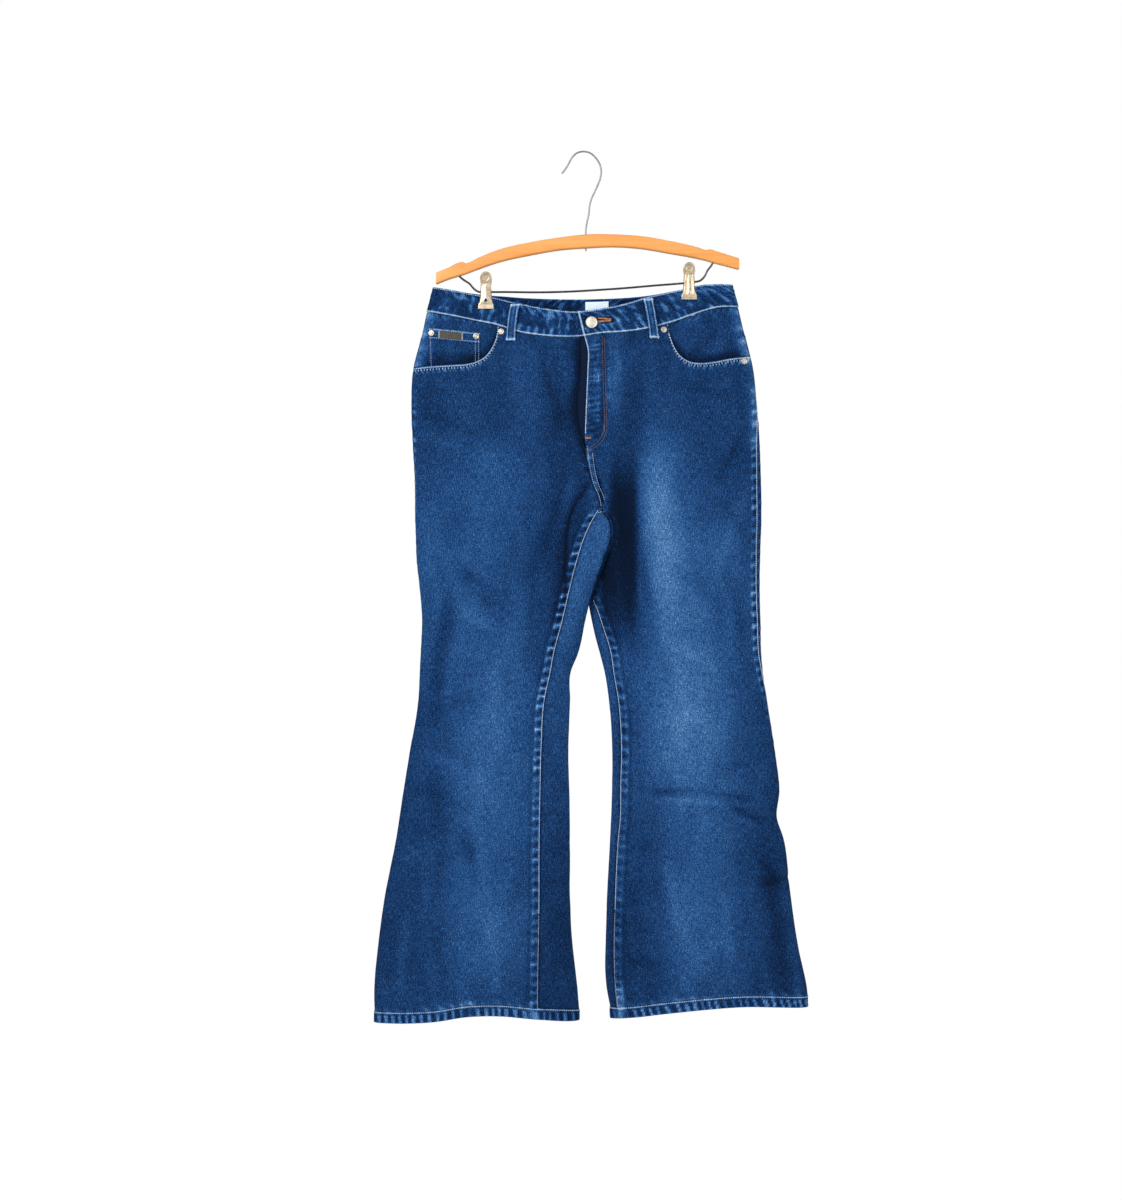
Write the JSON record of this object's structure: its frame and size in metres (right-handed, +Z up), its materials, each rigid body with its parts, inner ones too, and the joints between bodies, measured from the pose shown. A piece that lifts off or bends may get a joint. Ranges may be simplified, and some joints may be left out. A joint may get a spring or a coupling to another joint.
{
  "type": "flared jeans on a clip hanger",
  "caption": "Flared five-pocket denim jeans with open waist and hems, hung flat by two spring clips from the wire bar of a wooden hanger with a wire hook.",
  "frame": {"origin": "underside of the hook's bend, where the hanger rests on a rail", "axes": "+X towards the wearer's left, +Y towards the back, +Z up"},
  "size_m": [0.6196, 0.0585, 1.2455],
  "materials": {
    "denim": "washed blue denim twill, faded along the legs and mottled at the seams",
    "zip_tape": "dark woven tape",
    "label_satin": "bare white satin label",
    "plate_leather": "bare dark plate",
    "nickel": "worn nickel",
    "beech": "varnished honey wood",
    "hook_wire": "plated wire",
    "bar_wire": "dark steel wire",
    "clip_brass": "pale brass-plated sheet"
  },
  "bodies": {
    "root": {"front_panel_right": "denim", "front_panel_left": "denim", "back_panel_right": "denim", "back_panel_left": "denim", "back_yoke_right": "denim", "back_yoke_left": "denim", "waistband": "denim", "hem_right": "denim", "hem_left": "denim", "pocket_facing_right": "denim", "pocket_facing_left": "denim", "coin_pocket": "denim", "back_pocket_right": "denim", "back_pocket_left": "denim", "belt_loop_front_right": "denim", "belt_loop_front_left": "denim", "belt_loop_back_right": "denim", "belt_loop_back_middle": "denim", "belt_loop_back_left": "denim", "fly_shield": "denim", "zip_tape": "zip_tape", "waist_label": "label_satin", "coin_plate": "plate_leather", "button": "nickel", "rivet_coin_outer": "nickel", "rivet_coin_inner": "nickel", "rivet_mouth_right_inner": "nickel", "rivet_mouth_left_inner": "nickel", "rivet_mouth_left_outer": "nickel", "hanger_arch": "beech", "hanger_hook": "hook_wire", "hanger_bar": "bar_wire", "clip_right_front_jaw": "clip_brass", "clip_right_back_jaw": "clip_brass", "clip_right_sleeve": "clip_brass", "clip_left_front_jaw": "clip_brass", "clip_left_back_jaw": "clip_brass", "clip_left_sleeve": "clip_brass"}
  },
  "joints": []
}
